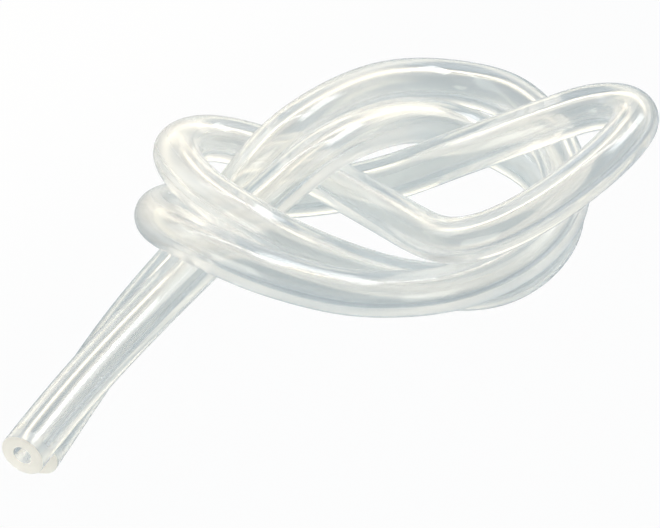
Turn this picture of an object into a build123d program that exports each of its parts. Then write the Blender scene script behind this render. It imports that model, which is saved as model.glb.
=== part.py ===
"""Silicone tubing: one length, doubled over and tied in one loose overhand knot.

The tube lies on a surface at Z = 0 as it was put down. The fold makes the loop at the right, and
both cut ends lie together at the front left. Millimetres, +Z up, +X to the right, +Y to the back.
The origin is on the surface, under the middle of the knot's box.
"""
import math
import os

from build123d import *

# Driving dimensions
bore_d = 4.76  # 3/16 in
wall = 3.18  # 1/8 in
tube_od = bore_d + 2 * wall

# The centre line of the tube, from the front cut end to the rear one, in tube diameters, so that
# the knot grows with the tube. Each corner is rounded by an arc that takes this share of the
# shorter of its two runs.
arc_share = 0.45
origin_shares = (0.05, -2.00, 0.00)

# The front tail lies on the rear one and goes in under the knot's two front strands
front_tail_shares = [
    (-6.45, -7.95, 1.55),
    (-5.43, -6.11, 1.55),
    (-4.13, -4.03, 1.46),
    (-2.82, -2.01, 1.29),
    (-1.90, -1.17, 1.72),
]
# The inner arc climbs over the strand that crosses the knot, then comes down to the surface
inner_arc_shares = [
    (-1.05, -0.82, 2.42),
    (-0.10, -0.17, 2.91),
    (0.85, 1.01, 2.36),
    (1.75, 2.20, 1.50),
    (2.70, 2.65, 0.80),
    (3.68, 2.30, 0.50),
    (4.55, 1.58, 0.50),
    (5.05, 0.40, 0.50),
    (4.60, -0.95, 0.50),
    (3.70, -1.80, 0.50),
    (2.80, -1.95, 0.50),
]
# The front strand rises to the left and turns back round the tails as the upper lobe
upper_lobe_shares = [
    (1.80, -1.85, 0.50),
    (0.75, -1.70, 0.70),
    (-0.35, -1.90, 1.50),
    (-1.05, -2.15, 2.20),
    (-1.90, -1.93, 2.68),
    (-2.75, -1.25, 2.75),
    (-3.32, 0.02, 2.48),
    (-3.18, 0.93, 2.00),
    (-2.70, 1.45, 1.66),
    (-2.02, 1.54, 1.44),
]
# The first strand of the loop crosses the knot between the layers and comes out over the front
loop_out_shares = [
    (-1.28, 1.18, 1.48),
    (-0.45, 0.55, 1.63),
    (0.35, -0.08, 1.60),
    (1.20, -0.75, 1.58),
    (1.90, -1.62, 1.85),
    (2.45, -2.32, 2.27),
    (3.10, -2.55, 2.59),
    (3.85, -2.36, 2.81),
    (4.75, -1.83, 3.03),
    (5.75, -1.00, 3.30),
]
# The fold at the loop's tip
loop_tip_shares = [
    (6.30, -0.25, 3.35),
    (6.55, 0.50, 3.20),
    (6.22, 1.17, 2.88),
    (5.50, 1.37, 2.63),
]
# The second strand of the loop comes back over the arcs and down to the surface under the knot
loop_back_shares = [
    (4.70, 1.00, 2.61),
    (3.60, 0.85, 2.20),
    (2.50, 1.05, 1.45),
    (1.50, 1.20, 0.75),
    (0.40, 1.05, 0.50),
    (-0.75, 0.85, 0.50),
    (-1.90, 0.82, 0.50),
    (-3.05, 0.55, 0.60),
]
# It turns round the tails as the lower lobe and runs along the front beside the first strand
lower_lobe_shares = [
    (-3.70, -0.45, 1.35),
    (-3.60, -1.55, 2.05),
    (-2.95, -2.57, 2.62),
    (-1.70, -3.20, 2.40),
    (-0.55, -3.10, 1.80),
    (0.45, -2.90, 1.30),
    (1.45, -2.75, 1.12),
    (2.50, -2.72, 1.22),
]
# The outer arc lies on the inner one at the right, beside it at the back, and climbs over the knot
outer_arc_shares = [
    (3.60, -2.38, 1.42),
    (4.50, -1.65, 1.55),
    (5.10, -0.45, 1.57),
    (4.95, 0.95, 1.55),
    (4.40, 2.26, 1.50),
    (3.75, 3.28, 1.17),
    (2.90, 3.75, 0.98),
    (1.95, 3.65, 1.20),
    (1.00, 2.95, 1.75),
    (0.10, 1.80, 2.35),
    (-0.62, 0.83, 2.69),
    (-1.25, 0.33, 2.47),
]
# The rear tail goes in under the lobes and out along the surface
rear_tail_shares = [
    (-1.88, -0.03, 1.70),
    (-2.55, -0.57, 0.92),
    (-3.48, -1.62, 0.50),
    (-4.47, -3.27, 0.50),
    (-5.35, -5.12, 0.50),
    (-6.18, -6.93, 0.50),
]
route_shares = (
    front_tail_shares
    + inner_arc_shares
    + upper_lobe_shares
    + loop_out_shares
    + loop_tip_shares
    + loop_back_shares
    + lower_lobe_shares
    + outer_arc_shares
    + rear_tail_shares
)


def route_points():
    """The route's corners in millimetres, from the front cut end to the rear one."""
    origin = Vector(*origin_shares)
    return [(Vector(*share) - origin) * tube_od for share in route_shares]


def corner_radii(points):
    """The arc at each corner, as large as the shorter of its two runs allows."""
    radii = []
    for before, corner, after in zip(points, points[1:], points[2:]):
        arriving = corner - before
        leaving = after - corner
        half_turn = math.radians(arriving.get_angle(leaving)) / 2
        shorter = min(arriving.length, leaving.length)
        radii.append(arc_share * shorter / math.tan(half_turn))
    return radii


def silicone_tube(path):
    """The tube's ring section, swept along the whole route, so that its bore is open at both ends."""
    cut_end = Plane(origin=path @ 0, z_dir=path % 0)
    ring = cut_end * (Circle(tube_od / 2) - Circle(bore_d / 2))
    return sweep(ring, path=path)


points = route_points()
radii = corner_radii(points)
centre_line = FilletPolyline(*points, radius=radii)
tube = silicone_tube(centre_line)

section_area = math.pi * (tube_od**2 - bore_d**2) / 4
print("arc radii in tube diameters:", ", ".join(f"{radius / tube_od:.2f}" for radius in radii))
print(f"centre line {centre_line.length:.1f} mm")
print(f"volume {tube.volume:.1f} mm3, section times length {section_area * centre_line.length:.1f} mm3")

os.makedirs("parts", exist_ok=True)
export_step(tube, "parts/silicone_tube.step")
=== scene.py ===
"""Clear silicone tubing, doubled over and tied in one loose overhand knot, on a pale studio floor.

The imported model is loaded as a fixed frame, in metres: +Z up, +X to the right, +Y to the back.
One visual piece, the hollow tube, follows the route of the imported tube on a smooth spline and
stands for it. Everything else here is the studio: floor, light and camera.
"""
from __future__ import annotations

import logging
import math
from dataclasses import dataclass, field
from enum import Enum, IntEnum
from typing import Any, Optional, Sequence, Union

import bmesh
import bpy
from mathutils import Matrix, Vector

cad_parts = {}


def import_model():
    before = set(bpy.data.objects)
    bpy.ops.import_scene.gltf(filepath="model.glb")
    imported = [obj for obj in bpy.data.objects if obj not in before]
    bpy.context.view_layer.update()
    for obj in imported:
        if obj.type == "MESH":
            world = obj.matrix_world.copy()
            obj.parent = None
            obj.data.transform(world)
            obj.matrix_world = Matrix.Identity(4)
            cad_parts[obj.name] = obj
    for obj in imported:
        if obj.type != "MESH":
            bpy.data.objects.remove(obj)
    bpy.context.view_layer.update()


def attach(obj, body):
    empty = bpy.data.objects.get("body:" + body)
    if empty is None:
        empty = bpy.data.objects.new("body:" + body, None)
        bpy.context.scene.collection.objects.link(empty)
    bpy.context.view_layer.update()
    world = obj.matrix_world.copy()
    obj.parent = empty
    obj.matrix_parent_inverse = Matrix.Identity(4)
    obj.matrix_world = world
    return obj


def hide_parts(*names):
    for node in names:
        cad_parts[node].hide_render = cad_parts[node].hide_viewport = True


LOG = logging.getLogger("silicone_tubing")

Triple = tuple[float, float, float]
Colour = tuple[float, float, float, float]


class Node(str, Enum):
    """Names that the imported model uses."""

    TUBE = "silicone_tube"
    BODY = "root"
    SLOT = "clear_silicone"


class Trace(str, Enum):
    """Values that the tube's mesh keeps at each point, for its finish to read."""

    ALONG = "along"
    ROUND_X = "round_x"
    ROUND_Y = "round_y"
    OUTSIDE = "outside"
    CUT = "cut"


class Coat(IntEnum):
    """The order of the finishes on the tube's mesh."""

    SKIN = 0
    CUT_FACE = 1


@dataclass
class Value:
    """A number that a shader works out, with Python's own operators."""

    board: "ShaderBoard"
    socket: Optional[bpy.types.NodeSocket]

    def _math(self, operation: str, first: Any, second: Any) -> "Value":
        """Add one Math node.

        Args:
            operation: The Math node's operation.
            first: The first operand, a Value or a number.
            second: The second operand, a Value or a number.

        Returns:
            The result.
        """
        return self.board.node("ShaderNodeMath", {"operation": operation}, {0: first, 1: second})

    def __add__(self, other: Any) -> "Value":
        """The sum."""
        return self._math("ADD", self, other)

    def __radd__(self, other: Any) -> "Value":
        """The sum, with a number first."""
        return self._math("ADD", other, self)

    def __sub__(self, other: Any) -> "Value":
        """The difference."""
        return self._math("SUBTRACT", self, other)

    def __rsub__(self, other: Any) -> "Value":
        """The difference, with a number first."""
        return self._math("SUBTRACT", other, self)

    def __mul__(self, other: Any) -> "Value":
        """The product."""
        return self._math("MULTIPLY", self, other)

    def __rmul__(self, other: Any) -> "Value":
        """The product, with a number first."""
        return self._math("MULTIPLY", other, self)

    def __gt__(self, other: Any) -> "Value":
        """One where this is the larger, else zero."""
        return self._math("GREATER_THAN", self, other)

    def __lt__(self, other: Any) -> "Value":
        """One where this is the smaller, else zero."""
        return self._math("LESS_THAN", self, other)


class ShaderBoard:
    """The nodes of one material or world."""

    def __init__(self, tree: bpy.types.NodeTree) -> None:
        """Start from an empty tree.

        Args:
            tree: The node tree of a material or a world.
        """
        self.tree = tree
        tree.nodes.clear()

    def node(
        self,
        kind: str,
        settings: Optional[dict[str, Any]] = None,
        inputs: Optional[dict[Union[int, str], Any]] = None,
        output: Union[int, str] = 0,
    ) -> Value:
        """Add one node.

        Args:
            kind: The node's type.
            settings: Properties to set first, such as a Math node's operation.
            inputs: Values or links, by the sockets' names or places.
            output: The output wanted, by its name or place.

        Returns:
            That output, or an empty Value where the node has none.
        """
        node = self.tree.nodes.new(kind)
        for name, setting in (settings or {}).items():
            setattr(node, name, setting)
        for place, given in (inputs or {}).items():
            socket = node.inputs[place]
            if isinstance(given, Value):
                self.tree.links.new(given.socket, socket)
            else:
                socket.default_value = given
        found = node.outputs[output] if len(node.outputs) else None
        return Value(self, found)

    def trace(self, kept: Trace) -> Value:
        """A number that the mesh keeps at each point."""
        return self.node("ShaderNodeAttribute", {"attribute_name": kept.value}, output="Fac")

    def smooth_step(self, number: Value, low: float, high: float) -> Value:
        """Ease a number from 0 to 1.

        Args:
            number: The number to ease.
            low: Where it is still 0.
            high: Where it is already 1.

        Returns:
            The eased number.
        """
        limits = {"Value": number, "From Min": low, "From Max": high}
        return self.node("ShaderNodeMapRange", {"interpolation_type": "SMOOTHSTEP"}, limits)

    def mix_colour(self, factor: Any, first: Any, second: Any) -> Value:
        """Mix two colours.

        Args:
            factor: How much of the second, a Value or a number.
            first: The colour at factor 0.
            second: The colour at factor 1.

        Returns:
            The mixed colour.
        """
        settings = {"data_type": "RGBA", "blend_type": "MIX"}
        # A Mix node has its two colours at 6 and 7, and the mixed one at 2.
        return self.node("ShaderNodeMix", settings, {0: factor, 6: first, 7: second}, output=2)


@dataclass(frozen=True)
class ClearSilicone:
    """Clear, slightly milky silicone with faint lines from its extrusion and a few bright specks."""

    name: str = "clear_silicone"
    body_colour: Colour = (1.0, 0.99, 0.97, 1.0)
    haze_colour: Colour = (0.95, 0.968, 0.972, 1.0)
    lamp_colour: Colour = (0.985, 0.985, 0.98, 1.0)
    refraction: float = 1.41
    transmission: float = 1.0
    smooth: float = 0.16
    dull: float = 0.21
    gloss: float = 0.16
    haze_least: float = 0.175
    haze_most: float = 0.30
    haze_cut: float = 0.20
    haze_let_in: float = 0.4
    line_scale: float = 1.9
    line_stretch: float = 1.6
    line_low: float = 0.40
    line_high: float = 0.72
    line_detail: float = 0.6
    line_roughness: float = 0.5
    speck_scale: float = 130.0
    speck_size: float = 0.045
    speck_rarity: float = 0.93

    def make(self) -> bpy.types.Material:
        """Build the material.

        Returns:
            The material, which reads the tube's own traces.
        """
        material = bpy.data.materials.new(self.name)
        material.use_nodes = True
        board = ShaderBoard(material.node_tree)
        lines = self._lines(board)
        outside = board.trace(Trace.OUTSIDE)
        specks = self._specks(board) * outside
        clear = board.node(
            "ShaderNodeBsdfPrincipled",
            {},
            {
                "Base Color": self.body_colour,
                "Roughness": self.smooth + lines * (self.dull - self.smooth),
                "IOR": self.refraction,
                "Transmission Weight": self.transmission,
                "Coat Weight": outside,
                "Coat Roughness": self.gloss,
            },
        )
        scattered = board.node("ShaderNodeBsdfDiffuse", {}, {"Color": self.haze_colour})
        let_in = board.node("ShaderNodeBsdfTranslucent", {}, {"Color": self.haze_colour})
        milky = board.node("ShaderNodeMixShader", {}, {0: self.haze_let_in, 1: scattered, 2: let_in})
        plain_haze = self.haze_least + lines * (self.haze_most - self.haze_least)
        haze = (plain_haze + board.trace(Trace.CUT) * self.haze_cut) * outside
        solid = haze + specks * (1.0 - haze)
        body = board.node("ShaderNodeMixShader", {}, {0: solid, 1: clear, 2: milky})
        # Light from the lamps passes straight through, so that deep layers stay bright.
        open_way = board.node("ShaderNodeBsdfTransparent", {}, {"Color": self.lamp_colour})
        from_lamp = board.node("ShaderNodeLightPath", {}, {}, output="Is Shadow Ray")
        surface = board.node("ShaderNodeMixShader", {}, {0: from_lamp, 1: body, 2: open_way})
        board.node("ShaderNodeOutputMaterial", {}, {"Surface": surface})
        return material

    def _lines(self, board: ShaderBoard) -> Value:
        """Fine lines along the tube, as a die leaves them.

        Args:
            board: The material's nodes.

        Returns:
            A number from 0 to 1.
        """
        across = board.node(
            "ShaderNodeCombineXYZ",
            {},
            {
                "X": board.trace(Trace.ROUND_X),
                "Y": board.trace(Trace.ROUND_Y),
                "Z": board.trace(Trace.ALONG) * self.line_stretch,
            },
        )
        noise = {
            "Vector": across,
            "Scale": self.line_scale,
            "Detail": self.line_detail,
            "Roughness": self.line_roughness,
        }
        plain = board.node("ShaderNodeTexNoise", {}, noise)
        return board.smooth_step(plain, self.line_low, self.line_high)

    def _specks(self, board: ShaderBoard) -> Value:
        """A few tiny bright specks of dust on the surface.

        Args:
            board: The material's nodes.

        Returns:
            One on a speck, else zero.
        """
        place = board.node("ShaderNodeTexCoord", {}, {}, output="Object")
        cells = {"Vector": place, "Scale": self.speck_scale}
        near = board.node("ShaderNodeTexVoronoi", {}, cells, output="Distance") < self.speck_size
        chance = board.node("ShaderNodeTexVoronoi", {}, cells, output="Color")
        red = board.node("ShaderNodeSeparateColor", {}, {0: chance}, output=0)
        return near * (red > self.speck_rarity)


@dataclass(frozen=True)
class CutSilicone:
    """The frosted face that a blade leaves on silicone."""

    name: str = "cut_silicone"
    colour: Colour = (0.98, 0.945, 0.87, 1.0)
    refraction: float = 1.41
    roughness: float = 0.45
    let_through: float = 0.50

    def make(self) -> bpy.types.Material:
        """Build the material.

        Returns:
            The material.
        """
        material = bpy.data.materials.new(self.name)
        material.use_nodes = True
        board = ShaderBoard(material.node_tree)
        frosted = board.node(
            "ShaderNodeBsdfPrincipled",
            {},
            {
                "Base Color": self.colour,
                "Roughness": self.roughness,
                "IOR": self.refraction,
            },
        )
        glowing = board.node("ShaderNodeBsdfTranslucent", {}, {"Color": self.colour})
        face = board.node("ShaderNodeMixShader", {}, {0: self.let_through, 1: frosted, 2: glowing})
        board.node("ShaderNodeOutputMaterial", {}, {"Surface": face})
        return material


@dataclass
class TubeRoute:
    """The tube's way through the knot, from the front cut end to the rear one.

    The points are in tube diameters, so that the knot grows with the tube. A spline follows them. It
    cuts corners, so each point is first pushed out by a share of its bend. One more place near each
    end, at a share of the spline's last step, keeps the haze of the cut ends short.
    """

    diameter: float
    steps_per_point: int = 7
    spline_order: int = 4
    push_out_share: float = 1.0 / 24.0
    end_ring_share: float = 0.55
    origin: Triple = (0.05, -2.00, 0.00)
    front_tail: Sequence[Triple] = (
        (-6.45, -7.95, 1.55),
        (-5.43, -6.11, 1.55),
        (-4.13, -4.03, 1.46),
        (-2.82, -2.01, 1.29),
        (-1.90, -1.17, 1.72),
    )
    inner_arc: Sequence[Triple] = (
        (-1.05, -0.82, 2.42),
        (-0.10, -0.17, 2.91),
        (0.85, 1.01, 2.36),
        (1.75, 2.20, 1.50),
        (2.70, 2.65, 0.80),
        (3.68, 2.30, 0.50),
        (4.55, 1.58, 0.50),
        (5.05, 0.40, 0.50),
        (4.60, -0.95, 0.50),
        (3.70, -1.80, 0.50),
        (2.80, -1.95, 0.50),
    )
    upper_lobe: Sequence[Triple] = (
        (1.80, -1.85, 0.50),
        (0.75, -1.70, 0.70),
        (-0.35, -1.90, 1.50),
        (-1.05, -2.15, 2.20),
        (-1.90, -1.93, 2.68),
        (-2.75, -1.25, 2.75),
        (-3.32, 0.02, 2.48),
        (-3.18, 0.93, 2.00),
        (-2.70, 1.45, 1.66),
        (-2.02, 1.54, 1.44),
    )
    loop_out: Sequence[Triple] = (
        (-1.28, 1.18, 1.48),
        (-0.45, 0.55, 1.63),
        (0.35, -0.08, 1.60),
        (1.20, -0.75, 1.58),
        (1.90, -1.62, 1.85),
        (2.45, -2.32, 2.27),
        (3.10, -2.55, 2.59),
        (3.85, -2.36, 2.81),
        (4.75, -1.83, 3.03),
        (5.75, -1.00, 3.30),
    )
    loop_tip: Sequence[Triple] = (
        (6.30, -0.25, 3.35),
        (6.55, 0.50, 3.20),
        (6.22, 1.17, 2.88),
        (5.50, 1.37, 2.63),
    )
    loop_back: Sequence[Triple] = (
        (4.70, 1.00, 2.61),
        (3.60, 0.85, 2.20),
        (2.50, 1.05, 1.45),
        (1.50, 1.20, 0.75),
        (0.40, 1.05, 0.50),
        (-0.75, 0.85, 0.50),
        (-1.90, 0.82, 0.50),
        (-3.05, 0.55, 0.60),
    )
    lower_lobe: Sequence[Triple] = (
        (-3.70, -0.45, 1.35),
        (-3.60, -1.55, 2.05),
        (-2.95, -2.57, 2.62),
        (-1.70, -3.20, 2.40),
        (-0.55, -3.10, 1.80),
        (0.45, -2.90, 1.30),
        (1.45, -2.75, 1.12),
        (2.50, -2.72, 1.22),
    )
    outer_arc: Sequence[Triple] = (
        (3.60, -2.38, 1.42),
        (4.50, -1.65, 1.55),
        (5.10, -0.45, 1.57),
        (4.95, 0.95, 1.55),
        (4.40, 2.26, 1.50),
        (3.75, 3.28, 1.17),
        (2.90, 3.75, 0.98),
        (1.95, 3.65, 1.20),
        (1.00, 2.95, 1.75),
        (0.10, 1.80, 2.35),
        (-0.62, 0.83, 2.69),
        (-1.25, 0.33, 2.47),
    )
    rear_tail: Sequence[Triple] = (
        (-1.88, -0.03, 1.70),
        (-2.55, -0.57, 0.92),
        (-3.48, -1.62, 0.50),
        (-4.47, -3.27, 0.50),
        (-5.35, -5.12, 0.50),
        (-6.18, -6.93, 0.50),
    )

    def points(self) -> list[Vector]:
        """The route's points.

        Returns:
            The points in metres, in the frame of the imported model.
        """
        stretches = (
            self.front_tail,
            self.inner_arc,
            self.upper_lobe,
            self.loop_out,
            self.loop_tip,
            self.loop_back,
            self.lower_lobe,
            self.outer_arc,
            self.rear_tail,
        )
        origin = Vector(self.origin)
        return [(Vector(share) - origin) * self.diameter for stretch in stretches for share in stretch]

    def _pushed_out(self, points: Sequence[Vector]) -> list[Vector]:
        """Move each point a little to the outside of its bend, as the smooth line cuts corners.

        Args:
            points: The route's points.

        Returns:
            As many points, none of them lower than the tube can lie.
        """
        moved = [points[0]]
        for before, place, after in zip(points, points[1:], points[2:]):
            outer = place - (before - 2.0 * place + after) * self.push_out_share
            outer.z = max(outer.z, self.diameter / 2.0)
            moved.append(outer)
        return [*moved, points[-1]]

    def centre_line(self) -> list[Vector]:
        """The smooth line that the points steer.

        Returns:
            Points along a spline that has the route's points as its controls, and one more near each end.
        """
        controls = self._pushed_out(self.points())
        curve = bpy.data.curves.new("tube_route", "CURVE")
        curve.dimensions = "3D"
        curve.resolution_u = self.steps_per_point
        spline = curve.splines.new("NURBS")
        spline.points.add(len(controls) - 1)
        for point, place in zip(spline.points, controls):
            point.co = (*place, 1.0)
        spline.order_u = self.spline_order
        spline.use_endpoint_u = True
        carrier = bpy.data.objects.new("tube_route", curve)
        traced = bpy.data.meshes.new_from_object(carrier)
        line = [vertex.co.copy() for vertex in traced.vertices]
        bpy.data.objects.remove(carrier)
        bpy.data.curves.remove(curve)
        bpy.data.meshes.remove(traced)
        near_front = line[0].lerp(line[1], self.end_ring_share)
        near_rear = line[-1].lerp(line[-2], self.end_ring_share)
        return [line[0], near_front, *line[1:-1], near_rear, line[-1]]


@dataclass
class SiliconeTube:
    """One length of thick-walled tube, hollow from cut end to cut end."""

    bore: float = 0.00476
    wall: float = 0.00318
    sides: int = 88
    rim_round: float = 0.00018
    rim_segments: int = 2
    finish: ClearSilicone = field(default_factory=ClearSilicone)
    cut_finish: CutSilicone = field(default_factory=CutSilicone)

    @property
    def diameter(self) -> float:
        """The tube's outside diameter."""
        return self.bore + 2.0 * self.wall

    def build(self) -> bpy.types.Object:
        """Make the tube, dress it and tell the frame what it is.

        Returns:
            The finished object.
        """
        line = TubeRoute(self.diameter).centre_line()
        mesh = self._mesh(line)
        finishes = {Coat.SKIN: self.finish, Coat.CUT_FACE: self.cut_finish}
        for coat in Coat:
            mesh.materials.append(finishes[coat].make())
        tube = bpy.data.objects.new("clear_tube", mesh)
        bpy.context.scene.collection.objects.link(tube)
        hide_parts(Node.TUBE.value)
        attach(tube, Node.BODY.value)
        LOG.info("%s: %.3f m of tube, %d faces", tube.name, self._length(line), len(mesh.polygons))
        return tube

    @staticmethod
    def _length(line: Sequence[Vector]) -> float:
        """The length of a line of points."""
        return sum((after - before).length for before, after in zip(line, line[1:]))

    @staticmethod
    def _stations(line: Sequence[Vector]) -> list[Matrix]:
        """A frame at each point of the line, carried along without twist.

        Args:
            line: Points along the tube's middle.

        Returns:
            One matrix for each point, with Z along the tube.
        """
        heading = Vector((0.0, 0.0, 1.0))
        turn = Matrix.Identity(3)
        frames = []
        for place, before, after in zip(line, [line[0], *line], [*line[1:], line[-1]]):
            ahead = (after - before).normalized()
            turn = heading.rotation_difference(ahead).to_matrix() @ turn
            heading = ahead
            frames.append(Matrix.Translation(place) @ turn.to_4x4())
        return frames

    def _mesh(self, line: Sequence[Vector]) -> bpy.types.Mesh:
        """Sweep the ring section along the line and close it at both cut ends.

        Args:
            line: Points along the tube's middle.

        Returns:
            The mesh, one closed skin round the silicone.
        """
        shape = bmesh.new()
        traces = {trace: shape.verts.layers.float.new(trace.value) for trace in Trace}
        frames = self._stations(line)
        for radius in (self.diameter / 2.0, self.bore / 2.0):
            bmesh.ops.create_circle(
                shape, cap_ends=False, segments=self.sides, radius=radius, matrix=frames[0]
            )
        ring = list(shape.edges)
        first_ring = list(ring)
        self._note(traces, list(shape.verts), frames[0], 0.0, cut=1.0)
        along = 0.0
        for before, after in zip(frames, frames[1:]):
            along += (after.translation - before.translation).length
            grown = bmesh.ops.extrude_edge_only(shape, edges=ring)["geom"]
            corners = [part for part in grown if isinstance(part, bmesh.types.BMVert)]
            ring = [part for part in grown if isinstance(part, bmesh.types.BMEdge) and part.is_boundary]
            bmesh.ops.transform(shape, matrix=after @ before.inverted(), verts=corners)
            self._note(traces, corners, after, along, cut=float(after is frames[-1]))
        outside = traces[Trace.OUTSIDE]
        bore_skin = [face for face in shape.faces if not face.verts[0][outside]]
        bmesh.ops.reverse_faces(shape, faces=bore_skin)
        for rim in (first_ring, ring):
            for face in bmesh.ops.bridge_loops(shape, edges=rim)["faces"]:
                face.material_index = Coat.CUT_FACE
        bmesh.ops.recalc_face_normals(shape, faces=shape.faces)
        bmesh.ops.bevel(
            shape,
            geom=first_ring + ring,
            offset=self.rim_round,
            affect="EDGES",
            segments=self.rim_segments,
            profile=0.5,
            material=-1,
        )
        for face in shape.faces:
            face.smooth = True
        mesh = bpy.data.meshes.new("clear_tube")
        shape.to_mesh(mesh)
        shape.free()
        return mesh

    def _note(
        self,
        traces: dict[Trace, bmesh.types.BMLayerItem],
        corners: Sequence[bmesh.types.BMVert],
        frame: Matrix,
        along: float,
        cut: float,
    ) -> None:
        """Keep each corner's place on the tube, for the finish to read.

        Args:
            traces: The mesh's layers.
            corners: The corners of one ring.
            frame: That ring's frame.
            along: The ring's distance from the front cut end.
            cut: One at a cut end, else zero.
        """
        back = frame.inverted()
        middle = self.bore / 2.0 + self.wall / 2.0
        for corner in corners:
            local = back @ corner.co
            angle = math.atan2(local.y, local.x)
            reach = math.hypot(local.x, local.y)
            corner[traces[Trace.ALONG]] = along
            corner[traces[Trace.ROUND_X]] = math.cos(angle)
            corner[traces[Trace.ROUND_Y]] = math.sin(angle)
            corner[traces[Trace.OUTSIDE]] = float(reach > middle)
            corner[traces[Trace.CUT]] = cut


@dataclass(frozen=True)
class PalePaper:
    """A sheet that is white to the eye and keeps a faint shadow.

    Light and the tube meet a satin sheet with painted shade: grey-blue under the knot, where its shadow
    falls, and paling to cream at the back left.
    """

    name: str = "pale_paper"
    painted_shade_colour: Colour = (0.18, 0.25, 0.30, 1.0)
    far_colour: Colour = (0.80, 0.76, 0.68, 1.0)
    pale_way: Triple = (-0.75, 0.66, 0.0)
    near_edge: float = 0.03
    far_edge: float = 0.11
    satin: float = 0.20
    refraction: float = 1.6
    glow_colour: Colour = (1.0, 1.0, 1.0, 1.0)
    glow_strength: float = 1.0
    glow_seen: float = 0.97
    glow_through: float = 0.03

    def make(self) -> bpy.types.Material:
        """Build the material.

        Returns:
            The material.
        """
        material = bpy.data.materials.new(self.name)
        material.use_nodes = True
        board = ShaderBoard(material.node_tree)
        place = board.node("ShaderNodeTexCoord", {}, {}, output="Object")
        along = {0: place, 1: self.pale_way}
        away = board.node("ShaderNodeVectorMath", {"operation": "DOT_PRODUCT"}, along, output="Value")
        far = board.smooth_step(away, self.near_edge, self.far_edge)
        # Painted shade: the sheet is grey-blue near the knot, where the tube's shadow falls, and pales
        # further out.
        colour = board.mix_colour(far, self.painted_shade_colour, self.far_colour)
        sheet = {
            "Base Color": colour,
            "Roughness": self.satin,
            "IOR": self.refraction,
        }
        paper = board.node("ShaderNodeBsdfPrincipled", {}, sheet)
        white = {"Color": self.glow_colour, "Strength": self.glow_strength}
        glow = board.node("ShaderNodeEmission", {}, white)
        seen = board.node("ShaderNodeLightPath", {}, {}, output="Is Camera Ray")
        mirrored = board.node("ShaderNodeLightPath", {}, {}, output="Is Glossy Ray")
        through = board.node("ShaderNodeLightPath", {}, {}, output="Is Transmission Ray")
        either = board.node("ShaderNodeMath", {"operation": "MAXIMUM"}, {0: mirrored, 1: through})
        share = seen * self.glow_seen + either * self.glow_through
        surface = board.node("ShaderNodeMixShader", {}, {0: share, 1: paper, 2: glow})
        board.node("ShaderNodeOutputMaterial", {}, {"Surface": surface})
        return material


@dataclass(frozen=True)
class SoftBox:
    """One soft lamp that faces the tube, with its lengths in metres and its power in watts."""

    name: str
    towards: Triple
    distance: float
    size: tuple[float, float]
    power: float
    along: Triple = (1.0, 0.0, 0.0)
    colour: Triple = (1.0, 1.0, 1.0)

    def build(self) -> None:
        """Hang the lamp and turn it to the tube."""
        lamp = bpy.data.lights.new(self.name, "AREA")
        lamp.shape = "RECTANGLE"
        lamp.size, lamp.size_y = self.size
        lamp.energy = self.power
        lamp.color = self.colour
        holder = bpy.data.objects.new(self.name, lamp)
        away = Vector(self.towards).normalized()
        across = away.cross(Vector(self.along)).normalized()
        turn = Matrix((across.cross(away), across, away)).transposed()
        holder.location = away * self.distance
        holder.rotation_euler = turn.to_euler()
        # The tube shows the room through it, and not the lamp's own shape.
        holder.visible_transmission = False
        bpy.context.scene.collection.objects.link(holder)
        LOG.info("%s: %.1f W", holder.name, self.power)


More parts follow.
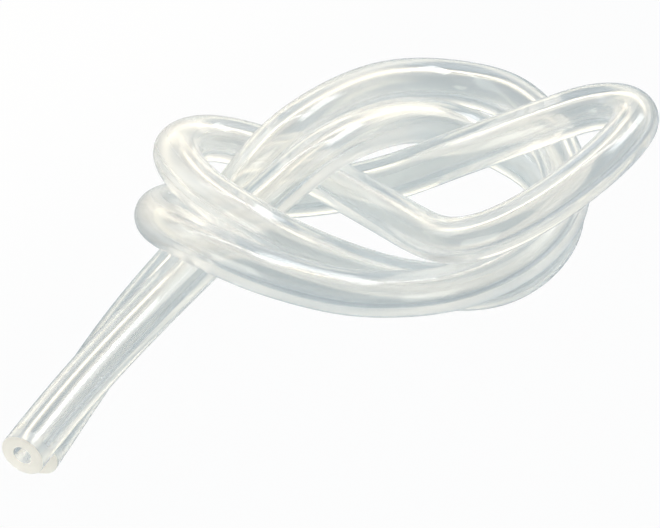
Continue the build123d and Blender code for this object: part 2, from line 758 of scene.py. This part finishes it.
@dataclass
class Studio:
    """The floor, the lamps and the soft surroundings."""

    floor_side: float = 6.0
    lamps: Sequence[SoftBox] = (
        SoftBox(
            name="overhead_softbox",
            towards=(0.0, 0.30, 0.95),
            distance=1.5,
            size=(2.20, 0.12),
            power=5.8,
        ),
        SoftBox(
            name="right_softbox",
            towards=(0.60, 0.38, 0.71),
            distance=1.4,
            size=(1.20, 0.46),
            power=9.4,
            along=(0.485, 0.875, 0.0),
        ),
        SoftBox(
            name="left_softbox",
            towards=(-0.75, 0.20, 0.60),
            distance=1.4,
            size=(0.90, 0.90),
            power=4.4,
        ),
        SoftBox(
            name="front_softbox",
            towards=(-0.25, -0.90, 0.35),
            distance=1.6,
            size=(1.40, 0.90),
            power=11.5,
            colour=(1.0, 0.95, 0.86),
        ),
    )
    room_strength: float = 1.0
    wall_limits: tuple[float, float] = (-0.35, 0.35)
    roof_limits: tuple[float, float] = (0.04, 0.36)
    bright_side: Triple = (-0.10, 0.99, 0.0)
    front_colour: Colour = (0.32, 0.35, 0.37, 1.0)
    back_colour: Colour = (2.60, 2.38, 1.92, 1.0)
    ceiling_colour: Colour = (0.34, 0.37, 0.40, 1.0)
    floor_finish: PalePaper = field(default_factory=PalePaper)

    def build(self) -> None:
        """Make the floor, the lamps and the room."""
        self._floor()
        for lamp in self.lamps:
            lamp.build()
        self._room()

    def _floor(self) -> None:
        """Lay a wide square of paper under the tube."""
        shape = bmesh.new()
        bmesh.ops.create_grid(shape, x_segments=1, y_segments=1, size=self.floor_side / 2.0)
        mesh = bpy.data.meshes.new("studio_floor")
        shape.to_mesh(mesh)
        shape.free()
        mesh.materials.append(self.floor_finish.make())
        floor = bpy.data.objects.new("studio_floor", mesh)
        bpy.context.scene.collection.objects.link(floor)
        LOG.info("%s: %.1f m square", floor.name, self.floor_side)

    def _room(self) -> None:
        """Fill the room with soft light: a low bright band at the back, greyer overhead and in front."""
        world = bpy.data.worlds.new("soft_room")
        world.use_nodes = True
        board = ShaderBoard(world.node_tree)
        heading = board.node("ShaderNodeTexCoord", {}, {}, output="Generated")
        sides = {0: heading, 1: self.bright_side}
        bright = board.node("ShaderNodeVectorMath", {"operation": "DOT_PRODUCT"}, sides, output="Value")
        height = board.node("ShaderNodeSeparateXYZ", {}, {0: heading}, output="Z")
        wall = board.smooth_step(bright, *self.wall_limits)
        roof = board.smooth_step(height, *self.roof_limits)
        round_about = board.mix_colour(wall, self.front_colour, self.back_colour)
        room = board.mix_colour(roof, round_about, self.ceiling_colour)
        light = board.node("ShaderNodeBackground", {}, {"Color": room, "Strength": self.room_strength})
        board.node("ShaderNodeOutputWorld", {}, {"Surface": light})
        bpy.context.scene.world = world
        LOG.info("%s: lit all round", world.name)


@dataclass
class PhotoCamera:
    """A long lens that looks down on the knot from the front.

    The aim is in tube diameters, the sensor in millimetres.
    """

    tube_diameter: float
    aim_shares: Triple = (-0.05, -0.12, 1.40)
    image_width_px: int = 660
    pixels_per_diameter: float = 47.2
    elevation_deg: float = 45.0
    distance: float = 4.5
    sensor_mm: float = 36.0

    def build(self) -> None:
        """Make the camera and give it to the scene."""
        frame_width = self.image_width_px / self.pixels_per_diameter * self.tube_diameter
        lens = bpy.data.cameras.new("photo_camera")
        lens.sensor_fit = "HORIZONTAL"
        lens.sensor_width = self.sensor_mm
        lens.lens = self.sensor_mm * self.distance / frame_width
        holder = bpy.data.objects.new("photo_camera", lens)
        up = math.radians(self.elevation_deg)
        back = Vector((0.0, -math.cos(up), math.sin(up)))
        aim = Vector(self.aim_shares) * self.tube_diameter
        holder.location = aim + back * self.distance
        holder.rotation_euler = (math.pi / 2.0 - up, 0.0, 0.0)
        bpy.context.scene.collection.objects.link(holder)
        bpy.context.scene.camera = holder
        LOG.info("%s: %.1f m from the knot", holder.name, self.distance)


def main() -> None:
    """Build the tube and its studio."""
    logging.basicConfig(level=logging.INFO)
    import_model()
    bpy.context.scene.view_settings.view_transform = "Standard"
    tube = SiliconeTube()
    PhotoCamera(tube.diameter).build()
    tube.build()
    Studio().build()


if __name__ == "__main__":
    main()
